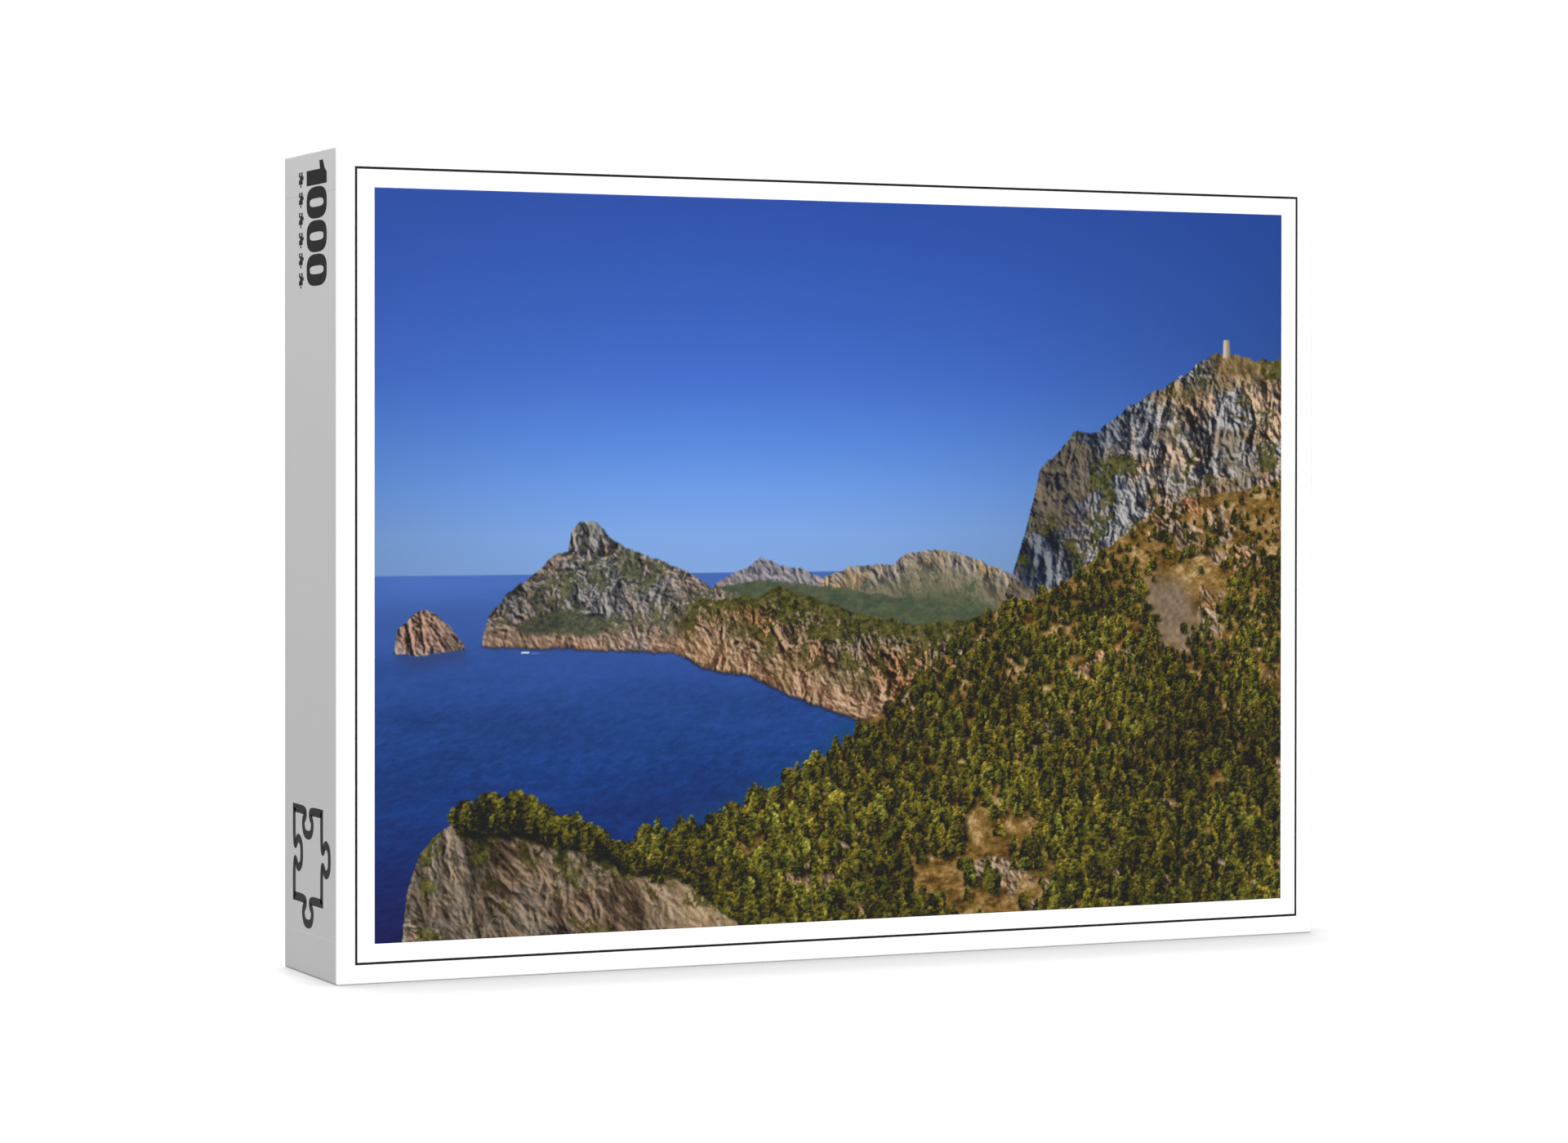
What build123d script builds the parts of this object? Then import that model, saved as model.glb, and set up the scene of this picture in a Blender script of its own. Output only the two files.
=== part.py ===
from build123d import *
import math
import os
import random

import numpy as np

# Boxed jigsaw puzzle: a full-depth lid over a tray, both of wrapped greyboard, and inside them a
# sealed film bag with the thousand die-cut pieces. The box stands upright on one long side.
# X runs along its width, Z up, and the picture faces -Y. The origin is the middle of its footprint.

# ---- driving dimensions, in millimetres -------------------------------------------------------
box_width = 370.0
box_height = 273.0
box_depth = 56.0

board = 1.5  # greyboard thickness
paper = 0.15  # printed or plain wrapping paper
tape = 0.1  # kraft tape that holds the corners
turn_in = 15.0  # how far the wrap is turned in over a free edge
fold_radius = 0.8  # outer radius of a wrapped fold
kerf = 0.2  # slit between two walls of the folded board
tape_width = 12.0  # each leg of the corner tape
tape_end_gap = 2.0  # from the tape's ends to the board's edges

side_clearance = 0.5  # between the lid and the tray, on each side
rim_gap = 0.1  # between the tray's rim and the lid's panel
skirt_gap = 1.0  # the lid's skirt ends this far short of the tray's back

film = 0.1
bag_width = 334.0
bag_height = 238.0
bag_depth = 38.0
bag_chamfer = 9.0
bag_gap = 0.3  # between the bag and the tray's walls
seal_width = 9.0
vent_radius = 2.5
vent_spacing = 120.0

puzzle_columns = 40
puzzle_rows = 25
piece_width = 17.5
piece_height = 20.0
piece_thickness = 1.9
knob_radius = 2.85
knob_rise = 2.0  # from the side's line to the middle of the knob
knob_drift = 1.4  # how far a knob may sit from the middle of its side

heap_seed = 7
heap_cell = 1.0  # grid step of the heap's height map
heap_margin = 0.75  # free space kept around each lying piece
layer_gap = 0.12  # between two pieces that lie on each other
heap_tries = 48  # places tried for each piece
wall_share = 0.3  # share of the tries that are close to a wall of the bag

# ---- derived places ---------------------------------------------------------------------------
front = -box_depth / 2
back = box_depth / 2
middle_z = box_height / 2
shell = board + paper

lid_free_edge = back - skirt_gap
lid_inner_panel = front + shell
tray_width = box_width - 2 * (shell + paper + side_clearance)
tray_height = box_height - 2 * (shell + paper + side_clearance)
tray_rim = lid_inner_panel + rim_gap
tray_floor = back - shell
tray_bottom_wall = middle_z - tray_height / 2 + shell + paper

bag_back = tray_floor - bag_gap
bag_middle_y = bag_back - bag_depth / 2
bag_middle_z = tray_bottom_wall + bag_gap + seal_width + bag_height / 2

os.makedirs("parts", exist_ok=True)


def facing_front(y):
    """The upright plane at y that faces -Y, with its middle at half the box's height."""
    return Plane(origin=(0, y, middle_z), x_dir=(1, 0, 0), z_dir=(0, -1, 0))


def facing_back(y):
    """The same plane turned to face +Y."""
    return Plane(origin=(0, y, middle_z), x_dir=(-1, 0, 0), z_dir=(0, 1, 0))


def rounded_block(plane, width, height, depth, radius):
    """An extruded rectangle with rounded long edges, and rounded edges around its far end."""
    with BuildPart() as block:
        with BuildSketch(plane):
            RectangleRounded(width, height, radius)
        extrude(amount=depth)
        far_face = block.faces().sort_by(Axis(plane.origin, plane.z_dir))[-1]
        fillet(far_face.edges(), radius)
    return block.part


def corner_tape_ring(plane, width, height, radius, length):
    """Four L-shaped strips of tape, one flush around each corner of the board."""
    with BuildPart() as strips:
        with BuildSketch(plane):
            RectangleRounded(width, height, radius)
            RectangleRounded(width - 2 * tape, height - 2 * tape, radius - tape, mode=Mode.SUBTRACT)
            with GridLocations(width - tape_width, height - tape_width, 2, 2):
                Rectangle(tape_width, tape_width, mode=Mode.INTERSECT)
        extrude(amount=length)
    return strips.part


# ---- one half of the box: board, tapes and wrap -----------------------------------------------
def half_board(plane, width, height, depth, tapes):
    """A scored blank folded into a panel with four walls, slit at its corners.

    The plane lies on the free edges and faces the panel."""
    radius = fold_radius - paper
    with BuildPart() as blank:
        add(rounded_block(plane, width, height, depth, radius))
        with BuildSketch(plane):
            Rectangle(width - 2 * board, height - 2 * board)
        extrude(amount=depth - board, mode=Mode.SUBTRACT)
        with BuildSketch(plane):
            with GridLocations(width - board, height - 2 * board - kerf, 2, 2):
                Rectangle(board, kerf)
        extrude(amount=depth - board, mode=Mode.SUBTRACT)
        add(tapes, mode=Mode.SUBTRACT)
    return blank.part


def half_wrap(plane, width, height, depth):
    """One sheet of paper over the panel and the walls, turned in over the free edges."""
    inner_width = width - 2 * paper
    inner_height = height - 2 * paper
    core = rounded_block(
        plane.offset(paper), inner_width, inner_height, depth - 2 * paper, fold_radius - paper
    )
    with BuildPart() as sheet:
        add(rounded_block(plane, width, height, depth, fold_radius))
        add(core, mode=Mode.SUBTRACT)
        with BuildSketch(plane):
            Rectangle(inner_width - 2 * board, inner_height - 2 * board)
            Rectangle(inner_width - 2 * shell, inner_height - 2 * shell, mode=Mode.SUBTRACT)
        extrude(amount=turn_in)
        with BuildSketch(plane):
            Rectangle(inner_width - 2 * shell, inner_height - 2 * shell)
        extrude(amount=turn_in, mode=Mode.SUBTRACT)
    return sheet.part


lid_depth = lid_free_edge - front
tray_depth = back - tray_rim

with BuildPart() as lid_corner_tapes:
    add(
        corner_tape_ring(
            facing_front(lid_free_edge - paper - tape_end_gap),
            box_width - 2 * paper,
            box_height - 2 * paper,
            fold_radius - paper,
            lid_depth - 2 * paper - 2 * tape_end_gap,
        )
    )
lid_corner_tapes.part.label = "lid_corner_tapes"

with BuildPart() as lid_board:
    add(
        half_board(
            facing_front(lid_free_edge - paper),
            box_width - 2 * paper,
            box_height - 2 * paper,
            lid_depth - 2 * paper,
            lid_corner_tapes.part,
        )
    )
lid_board.part.label = "lid_board"

with BuildPart() as lid_wrap:
    add(half_wrap(facing_front(lid_free_edge), box_width, box_height, lid_depth))
lid_wrap.part.label = "lid_wrap"

with BuildPart() as tray_corner_tapes:
    add(
        corner_tape_ring(
            facing_back(tray_rim + paper + tape_end_gap),
            tray_width - 2 * paper,
            tray_height - 2 * paper,
            fold_radius - paper,
            tray_depth - 2 * paper - 2 * tape_end_gap,
        )
    )
tray_corner_tapes.part.label = "tray_corner_tapes"

with BuildPart() as tray_board:
    add(
        half_board(
            facing_back(tray_rim + paper),
            tray_width - 2 * paper,
            tray_height - 2 * paper,
            tray_depth - 2 * paper,
            tray_corner_tapes.part,
        )
    )
tray_board.part.label = "tray_board"

with BuildPart() as tray_wrap:
    add(half_wrap(facing_back(tray_rim), tray_width, tray_height, tray_depth))
tray_wrap.part.label = "tray_wrap"


# ---- bag --------------------------------------------------------------------------------------
def across_bag(y):
    """The upright plane at y that faces -Y, with its middle at the bag's."""
    return Plane(origin=(0, y, bag_middle_z), x_dir=(1, 0, 0), z_dir=(0, -1, 0))


def pillow(inset):
    """The bag's body, or the space inside it when it is inset by the film's thickness."""
    slope_inset = inset * (2 - math.sqrt(2))
    with BuildPart() as body:
        with BuildSketch(across_bag(bag_back - inset)):
            Rectangle(bag_width - 2 * inset, bag_height - 2 * inset)
        extrude(amount=bag_depth - 2 * inset)
        ends = body.faces().filter_by(Axis.Y).edges()
        chamfer(ends, bag_chamfer - slope_inset)
    return body.part


with BuildPart() as bag_film:
    add(pillow(0))
    with BuildSketch(across_bag(bag_middle_y + film)):
        Rectangle(bag_width, bag_height + 2 * seal_width)
    extrude(amount=2 * film)
    add(pillow(film), mode=Mode.SUBTRACT)
    with BuildSketch(across_bag(bag_middle_y)):
        with GridLocations(vent_spacing, vent_spacing, 2, 1):
            Circle(vent_radius)
    extrude(amount=bag_depth, mode=Mode.SUBTRACT)
bag_film.part.label = "bag_film"


# ---- the puzzle's cut -------------------------------------------------------------------------
# Each line between two neighbours is cut once: its knob points one way, and sits a little off
# the middle. Both neighbours take the same line, so the pieces lock together.
cutter = random.Random(heap_seed)


def random_cut():
    """Which way a cut line's knob points, and how far along the line it is shifted."""
    return cutter.choice((-1, 1)), cutter.uniform(-knob_drift, knob_drift)


upright_cuts = [[random_cut() for _ in range(puzzle_rows)] for _ in range(puzzle_columns - 1)]
level_cuts = [[random_cut() for _ in range(puzzle_rows - 1)] for _ in range(puzzle_columns)]


def piece_sides(column, row):
    """Knob direction and shift of a piece's bottom, right, top and left side, seen from inside it.

    The direction is 1 for a knob that stands out, -1 for a hollow and 0 for a straight edge."""
    straight = (0, 0.0)
    bottom = right = top = left = straight
    if row > 0:
        direction, shift = level_cuts[column][row - 1]
        bottom = (-direction, shift)
    if column < puzzle_columns - 1:
        direction, shift = upright_cuts[column][row]
        right = (direction, shift)
    if row < puzzle_rows - 1:
        direction, shift = level_cuts[column][row]
        top = (direction, -shift)
    if column > 0:
        direction, shift = upright_cuts[column - 1][row]
        left = (-direction, -shift)
    return bottom, right, top, left


def cut_side(start, end, direction, shift):
    """Draws one side: a straight shoulder, the knob or hollow, and the other shoulder."""
    if direction == 0:
        Line(start, end)
        return
    length = math.dist(start, end)
    along = ((end[0] - start[0]) / length, (end[1] - start[1]) / length)
    middle = length / 2 + shift
    neck = math.sqrt(knob_radius**2 - knob_rise**2)

    def point(distance, outward):
        reach = outward * direction
        return (
            start[0] + along[0] * distance + along[1] * reach,
            start[1] + along[1] * distance - along[0] * reach,
        )

    neck_in = point(middle - neck, 0)
    neck_out = point(middle + neck, 0)
    Line(start, neck_in)
    ThreePointArc(neck_in, point(middle, knob_rise + knob_radius), neck_out)
    Line(neck_out, end)


def die_cut_piece(sides, place):
    """One piece, cut from board on a plane that faces its printed side."""
    half_width = piece_width / 2
    half_height = piece_height / 2
    corners = [
        (-half_width, -half_height),
        (half_width, -half_height),
        (half_width, half_height),
        (-half_width, half_height),
    ]
    with BuildPart() as piece:
        with BuildSketch(place):
            with BuildLine():
                for i, (direction, shift) in enumerate(sides):
                    cut_side(corners[i], corners[(i + 1) % 4], direction, shift)
            make_face()
        extrude(amount=piece_thickness)
    return piece.part.solid()


# ---- the heap in the bag ----------------------------------------------------------------------
# Pieces lie flat over each other, face up or face down, as they settle in a bag that was filled
# and laid down. A height map holds the top of the heap at each cell of a grid.
cells_across = int(bag_width / heap_cell)
cells_up = int(bag_height / heap_cell)
heap_top = np.zeros((cells_across, cells_up))
piece_reach = math.hypot(piece_width, piece_height) / 2 + knob_radius + heap_margin
reach_cells = 2 + int(piece_reach / heap_cell)
# A piece's sides counter-clockwise from the bottom: which way they run, and how far out they lie.
side_runs = [(1, 0), (0, 1), (-1, 0), (0, -1)]
side_distances = [piece_height / 2, piece_width / 2, piece_height / 2, piece_width / 2]


def covers(sides, across, up):
    """Which points of a piece's own plane lie under it or within the margin around it."""
    inside = abs(across) < piece_width / 2 + heap_margin
    inside &= abs(up) < piece_height / 2 + heap_margin
    for (direction, shift), (run_x, run_y), distance in zip(sides, side_runs, side_distances):
        if direction == 1:
            out = distance + knob_rise
            knob_x = run_x * shift + run_y * out
            knob_y = run_y * shift - run_x * out
            gap = np.hypot(across - knob_x, up - knob_y)
            inside |= gap < knob_radius + heap_margin
    return inside


def inset_at(level):
    """How far the bag's sloping edges reach in beside a piece that lies at this level."""
    lower = bag_chamfer - level
    upper = bag_chamfer - (bag_depth - level - piece_thickness)
    return max(0.0, lower, upper) + film + layer_gap


def random_cell(dice, cells):
    """A random cell of the height map along one of its sides, now and then one beside a wall."""
    if dice.random() > wall_share:
        return dice.randrange(reach_cells, cells - reach_cells)
    beside = dice.randrange(reach_cells // 2, reach_cells)
    return dice.choice((beside, cells - beside))


def drop(sides, dice):
    """Drops a piece on the lowest of a few random places, and gives its middle, turn and level."""
    best = None
    for _ in range(heap_tries):
        column = random_cell(dice, cells_across)
        row = random_cell(dice, cells_up)
        turn = dice.uniform(0, 2 * math.pi)
        face_up = dice.random() < 0.5
        columns = np.arange(max(column - reach_cells, 0), min(column + reach_cells, cells_across))
        rows = np.arange(max(row - reach_cells, 0), min(row + reach_cells, cells_up))
        u = (columns - column)[:, None] * heap_cell
        v = (rows - row)[None, :] * heap_cell
        across = u * math.cos(turn) + v * math.sin(turn)
        up = (v * math.cos(turn) - u * math.sin(turn)) * (1 if face_up else -1)
        under = covers(sides, across, up)
        patch = heap_top[columns[0] : columns[-1] + 1, rows[0] : rows[-1] + 1]
        level = float(patch[under].max()) + layer_gap
        edge = inset_at(level) / heap_cell
        hit_columns = columns[under.any(axis=1)]
        hit_rows = rows[under.any(axis=0)]
        if hit_columns[0] < edge or hit_columns[-1] > cells_across - 1 - edge:
            continue
        if hit_rows[0] < edge or hit_rows[-1] > cells_up - 1 - edge:
            continue
        if best is None or level < best[0]:
            best = (level, column, row, turn, face_up, patch, under)
    level, column, row, turn, face_up, patch, under = best
    patch[under] = level + piece_thickness
    x = (column + 0.5) * heap_cell - bag_width / 2
    z = (row + 0.5) * heap_cell - bag_height / 2 + bag_middle_z
    return x, z, turn, level, face_up


def lying_place(x, z, turn, level, face_up):
    """The plane of a lying piece's back, which faces its printed side."""
    x_dir = (math.cos(turn), 0, math.sin(turn))
    if face_up:
        return Plane(origin=(x, bag_back - level, z), x_dir=x_dir, z_dir=(0, -1, 0))
    low = bag_back - level - piece_thickness
    return Plane(origin=(x, low, z), x_dir=x_dir, z_dir=(0, 1, 0))


puzzle = [piece_sides(column, row) for column in range(puzzle_columns) for row in range(puzzle_rows)]
shuffler = random.Random(heap_seed + 1)
shuffler.shuffle(puzzle)
layers = {}
for sides in puzzle:
    x, z, turn, level, face_up = drop(sides, shuffler)
    layer = 1 + int(level / (piece_thickness + layer_gap))
    piece = die_cut_piece(sides, lying_place(x, z, turn, level, face_up))
    layers.setdefault(layer, []).append(piece)

# ---- files ------------------------------------------------------------------------------------
for sub_part in (
    lid_board, lid_wrap, lid_corner_tapes, tray_board, tray_wrap, tray_corner_tapes, bag_film
):
    export_step(sub_part.part, f"parts/{sub_part.part.label}.step")

for layer in sorted(layers):
    pieces = Compound(layers[layer])
    pieces.label = f"puzzle_pieces_layer_{layer:02d}"
    export_step(pieces, f"parts/{pieces.label}.step", write_pcurves=False)
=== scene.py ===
import math

import bmesh
import bpy
import numpy as np
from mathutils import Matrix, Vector


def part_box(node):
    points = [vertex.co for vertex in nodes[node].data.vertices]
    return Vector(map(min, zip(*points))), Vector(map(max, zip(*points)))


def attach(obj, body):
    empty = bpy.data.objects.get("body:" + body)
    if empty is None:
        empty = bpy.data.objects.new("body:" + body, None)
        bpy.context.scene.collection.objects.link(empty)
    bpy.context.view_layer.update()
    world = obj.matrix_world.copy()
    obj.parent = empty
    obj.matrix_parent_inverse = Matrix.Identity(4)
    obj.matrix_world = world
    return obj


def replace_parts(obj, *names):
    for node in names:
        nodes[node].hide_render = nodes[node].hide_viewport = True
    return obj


# The looks of the boxed jigsaw puzzle: printed lid, white tray, bag of loose pieces. Everything
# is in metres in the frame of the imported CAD, and each new piece rides on a CAD body.
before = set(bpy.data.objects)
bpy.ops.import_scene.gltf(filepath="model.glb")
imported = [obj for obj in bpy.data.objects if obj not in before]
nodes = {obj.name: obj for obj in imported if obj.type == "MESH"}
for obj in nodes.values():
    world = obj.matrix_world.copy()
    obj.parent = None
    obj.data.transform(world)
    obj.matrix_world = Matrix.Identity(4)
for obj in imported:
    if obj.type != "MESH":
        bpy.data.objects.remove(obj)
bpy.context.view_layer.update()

lid_low, lid_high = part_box("lid_wrap")
box_width = lid_high.x - lid_low.x
box_height = lid_high.z - lid_low.z
box_middle = (lid_high + lid_low) / 2
lid_panel = lid_low.y  # the printed panel faces -Y

ink = 0.00003  # how far printed ink stands off the paper in this model
border = 0.0131  # white border around the picture
picture_width = box_width - 2 * border
picture_height = box_height - 2 * border
keyline_inset = 0.0064
keyline_width = 0.0008
lap_width = 0.0142  # of the wrap's long sides folded over its short ones

# How bright the studio's light shows the front, and the faint shine it adds: the print's inks
# allow for both, so that the printed colours come out right.
front_light = 1.15
front_shine = 0.017


# ---- node materials ----
class Shader:
    """A node material that is being built."""

    def __init__(self, name):
        self.material = bpy.data.materials.new(name)
        self.material.use_nodes = True
        self.tree = self.material.node_tree
        self.surface = self.tree.nodes["Principled BSDF"]
        self.place = self.node("TexCoord").outputs["Object"]

    def feed(self, socket, value):
        if isinstance(value, bpy.types.NodeSocket):
            self.tree.links.new(value, socket)
        else:
            socket.default_value = value

    def node(self, kind, inputs=None, **settings):
        node = self.tree.nodes.new("ShaderNode" + kind)
        for key, value in settings.items():
            setattr(node, key, value)
        for key, value in (inputs or {}).items():
            self.feed(node.inputs[key], value)
        return node

    def math(self, operation, a, b=0):
        node = self.node("Math", operation=operation)
        self.feed(node.inputs[0], a)
        self.feed(node.inputs[1], b)
        return node.outputs[0]

    def plus(self, a, b):
        return self.math("ADD", a, b)

    def minus(self, a, b):
        return self.math("SUBTRACT", a, b)

    def most(self, a, b):
        return self.math("MAXIMUM", a, b)

    def times(self, a, b):
        return self.math("MULTIPLY", a, b)

    def apart(self, a, b):
        """How far apart two values are."""
        return self.math("ABSOLUTE", self.minus(a, b))

    def mix(self, amount, a, b):
        node = self.node("Mix", data_type="RGBA")
        self.feed(node.inputs[0], amount)
        self.feed(node.inputs[6], a)
        self.feed(node.inputs[7], b)
        return node.outputs[2]

    def scale(self, value, low, high, start=0, end=1):
        """Value from start..end brought to low..high."""
        inputs = {"Value": value, "From Min": start, "From Max": end, "To Min": low, "To Max": high}
        return self.node("MapRange", inputs).outputs[0]

    def noise(self, size, detail=3, roughness=0.55, stretch=(1, 1, 1)):
        """Noise whose bumps are about size metres long."""
        vector = self.place
        if stretch != (1, 1, 1):
            inputs = {0: vector, 1: stretch}
            vector = self.node("VectorMath", inputs, operation="MULTIPLY").outputs[0]
        inputs = {"Vector": vector, "Scale": 1 / size, "Detail": detail, "Roughness": roughness}
        return self.node("TexNoise", inputs).outputs["Fac"]

    def bump(self, height, distance, strength=1):
        inputs = {"Height": height, "Distance": distance, "Strength": strength}
        return self.node("Bump", inputs).outputs["Normal"]

    def attribute(self, name, output="Color"):
        return self.node("Attribute", attribute_name=name).outputs[output]

    def finish(self, colour, roughness, normal, specular=0.5, alpha=1):
        values = {"Base Color": colour, "Roughness": roughness, "Normal": normal}
        values.update({"Specular IOR Level": specular, "Alpha": alpha})
        for key, value in values.items():
            self.feed(self.surface.inputs[key], value)
        return self.material


def grey(value):
    return (value, value, value, 1)


def folded_edge_wear(s, front):
    """1 at the folded edges around a panel, and 0 a millimetre away, broken up by noise."""
    x, y, z = s.node("SeparateXYZ", {0: s.place}).outputs
    from_side = s.minus(box_width / 2, s.apart(x, 0))
    from_top = s.minus(box_height / 2, s.apart(z, box_middle.z))
    from_front = s.apart(y, front)
    corner = s.most(from_side, from_top)
    upright = s.most(from_side, from_front)
    level = s.most(from_top, from_front)
    nearest = s.math("MINIMUM", corner, s.math("MINIMUM", upright, level))
    ragged = s.scale(s.noise(0.004, 5, 0.7), -0.0004, 0.0012)
    return s.scale(s.minus(ragged, nearest), 0, 1, 0, 0.0006)


def lap_seams(s):
    """1 on the short sides' paper beyond the laps that the long sides fold over them."""
    x, _, z = s.node("SeparateXYZ", {0: s.place}).outputs
    waver = s.scale(s.noise(0.03, 2), -0.0004, 0.0004)
    from_middle = s.plus(s.apart(z, box_middle.z), waver)
    seam = box_height / 2 - lap_width
    lap = s.scale(from_middle, 0, 1, seam, seam + 0.0002)
    side = box_width / 2 - 0.006
    return s.times(lap, s.scale(s.apart(x, 0), 0, 1, side, side + 0.001))


def paper_material(name, tone, gloss, front):
    """Coated white paper: faint fibre clouds, a light tooth, glued laps and scuffed folds."""
    s = Shader(name)
    clouds = s.noise(0.02, 4)
    fibre = s.noise(0.0007, 2, 0.6, (1, 1, 0.45))
    colour = s.mix(clouds, grey(tone * 0.985), grey(tone))
    colour = s.mix(s.times(fibre, 0.05), colour, (0.8, 0.79, 0.76, 1))
    wear = folded_edge_wear(s, front)
    colour = s.mix(s.times(wear, 0.35), colour, (0.66, 0.63, 0.58, 1))
    rough = s.scale(fibre, gloss - 0.05, gloss + 0.07)
    rough = s.plus(rough, s.times(wear, 0.2))
    tooth = s.plus(fibre, s.times(s.noise(0.006, 2), 1.5))
    tooth = s.plus(tooth, s.times(lap_seams(s), 7))
    normal = s.bump(tooth, 0.00002, 0.5)
    return s.finish(colour, rough, normal, specular=0.35)


def greyboard_material():
    """Recycled board: felted grey fibre with darker and paler specks."""
    s = Shader("greyboard")
    fibre = s.noise(0.0009, 4, 0.7, (1, 1, 0.35))
    across = s.noise(0.0011, 4, 0.7, (0.3, 1, 1))
    felt = s.times(s.plus(fibre, across), 0.5)
    colour = s.mix(felt, (0.2, 0.185, 0.165, 1), (0.44, 0.415, 0.38, 1))
    colour = s.mix(s.scale(s.noise(0.03, 3), 0, 0.3), colour, (0.3, 0.27, 0.235, 1))
    dark = s.scale(s.noise(0.0016, 1, 0.5), 0, 0.75, 0.7, 0.76)
    colour = s.mix(dark, colour, (0.1, 0.09, 0.085, 1))
    pale = s.scale(s.noise(0.0013, 1, 0.5, (1.3, 1.1, 0.9)), 0, 0.6, 0.71, 0.77)
    colour = s.mix(pale, colour, (0.62, 0.6, 0.56, 1))
    return s.finish(colour, s.scale(felt, 0.82, 0.96), s.bump(felt, 0.00008, 0.6))


def tape_material():
    """Kraft paper tape with the long fibres of its machine direction along its length."""
    s = Shader("kraft_tape")
    fibre = s.noise(0.0008, 4, 0.65, (1, 0.2, 1))
    blotch = s.noise(0.008, 3)
    colour = s.mix(fibre, (0.3, 0.185, 0.095, 1), (0.52, 0.36, 0.21, 1))
    colour = s.mix(s.scale(blotch, 0, 0.35), colour, (0.36, 0.235, 0.13, 1))
    return s.finish(colour, s.scale(fibre, 0.5, 0.7), s.bump(fibre, 0.00004, 0.5))


def print_material():
    """Offset-printed picture: the inks' colours with a fine press grain, under satin varnish."""
    s = Shader("picture_inks")
    paint = s.attribute("paint")
    grain = s.noise(0.00035, 1, 0.5)
    paint = s.mix(s.scale(grain, 0, 0.08), paint, grey(0))
    streak = s.noise(0.012, 3, 0.5)
    rough = s.scale(streak, 0.36, 0.44)
    tooth = s.plus(grain, s.times(s.noise(0.005, 2), 1.5))
    return s.finish(paint, rough, s.bump(tooth, 0.00001, 0.5), specular=0.3)


def ink_material(name, tone):
    """Solid dark ink with faint mottle."""
    s = Shader(name)
    mottle = s.noise(0.0009, 3, 0.6)
    colour = s.mix(mottle, grey(tone * 0.8), grey(tone * 1.25))
    return s.finish(colour, s.scale(mottle, 0.36, 0.48), s.bump(mottle, 0.00001, 0.4), specular=0.3)


def pieces_material():
    """Die-cut pieces: a printed side, a pale blue-grey back and grey board at the cut edges."""
    s = Shader("die_cut_board")
    printed = s.attribute("printed", "Fac")
    backed = s.attribute("backed", "Fac")
    tufts = s.scale(s.noise(0.0042, 4, 0.65), 0, 1, 0.4, 0.6)
    picture = s.mix(tufts, s.attribute("first_ink"), s.attribute("second_ink"))
    grain = s.noise(0.0011, 3, 0.7)
    picture = s.mix(s.scale(grain, 0, 0.28), picture, grey(0.015))
    felt = s.noise(0.0006, 3, 0.7)
    edge = s.mix(felt, (0.27, 0.25, 0.22, 1), (0.46, 0.43, 0.39, 1))
    back = s.mix(felt, (0.42, 0.46, 0.53, 1), (0.54, 0.58, 0.64, 1))
    colour = s.mix(backed, s.mix(printed, edge, picture), back)
    rough = s.mix(printed, s.scale(felt, 0.75, 0.92), s.scale(grain, 0.34, 0.46))
    height = s.times(felt, s.minus(1.15, printed))
    return s.finish(colour, rough, s.bump(height, 0.00004, 0.5))


def creases(s, size, sharpness, stretch):
    """Thin winding lines, about size metres apart, that fade in and out."""
    line = s.scale(s.apart(s.noise(size, 2, 0.5, stretch), 0.5), 1, 0, 0, sharpness)
    return s.times(line, s.scale(s.noise(size * 0.8, 1), 0, 1, 0.42, 0.62))


def film_material():
    """Thin clear film: see-through head on, glossy, with painted highlights along its creases, and
    paler where it turns away, a painted reflection.
    """
    s = Shader("clear_film")
    long_creases = creases(s, 0.034, 0.018, (1, 1, 0.4))
    short_creases = creases(s, 0.016, 0.022, (0.8, 1, 1.2))
    crease_and_highlight = s.most(long_creases, s.times(short_creases, 0.7))
    crinkle = s.noise(0.006, 4, 0.6)
    height = s.plus(s.times(crinkle, 0.8), s.times(crease_and_highlight, 0.5))
    normal = s.bump(height, 0.0016, 0.8)
    facing = s.node("LayerWeight", {"Blend": 0.35, "Normal": normal}).outputs["Facing"]
    # Painted reflection: the film is made more opaque where it turns away from the view, so its white
    # colour shows there.
    alpha = s.plus(s.times(s.math("POWER", facing, 1.5), 0.5), 0.05)
    # Painted highlights: the crease lines are made more opaque, so the white film shows as pale lines
    # along them, as if catching light.
    alpha = s.plus(alpha, s.times(crease_and_highlight, 0.38))
    return s.finish((0.93, 0.95, 0.97, 1), s.scale(crinkle, 0.07, 0.18), normal, alpha=alpha)


# ---- meshes ----
def link(thing):
    bpy.context.scene.collection.objects.link(thing)


def make_object(name, mesh, material, body):
    piece = bpy.data.objects.new(name, mesh)
    link(piece)
    mesh.materials.clear()
    mesh.materials.append(material)
    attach(piece, body)
    return piece


def quad_mesh(name, points, quads):
    """A mesh from arrays of points and of four-cornered faces."""
    mesh = bpy.data.meshes.new(name)
    mesh.vertices.add(len(points))
    mesh.vertices.foreach_set("co", np.asarray(points, np.float32).ravel())
    mesh.loops.add(len(quads) * 4)
    mesh.loops.foreach_set("vertex_index", np.asarray(quads, np.int32).ravel())
    mesh.polygons.add(len(quads))
    mesh.polygons.foreach_set("loop_start", np.arange(0, len(quads) * 4, 4, dtype=np.int32))
    mesh.update(calc_edges=True)
    return mesh


def grid_quads(across, up):
    """Faces of a grid whose points run across first, then up."""
    index = np.arange(across * up).reshape(up, across)
    corners = index[:-1, :-1], index[:-1, 1:], index[1:, 1:], index[1:, :-1]
    return np.stack([c.ravel() for c in corners], 1)


def linear(colour):
    """Linear light from display values."""
    return np.where(colour <= 0.04045, colour / 12.92, ((colour + 0.055) / 1.055) ** 2.4)


# ---- the painted picture ----
# A rocky coast on a clear day, painted layer by layer from noise, from the back to the front.
cell = 0.0004
aspect = picture_width / picture_height
columns = int(round(picture_width / cell))
rows = int(round(picture_height / cell))


def rgb(r, g, b):
    return np.array([r, g, b], float) / 255


def unit(value):
    """The value kept within 0 and 1."""
    return np.clip(value, 0, 1)


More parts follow.
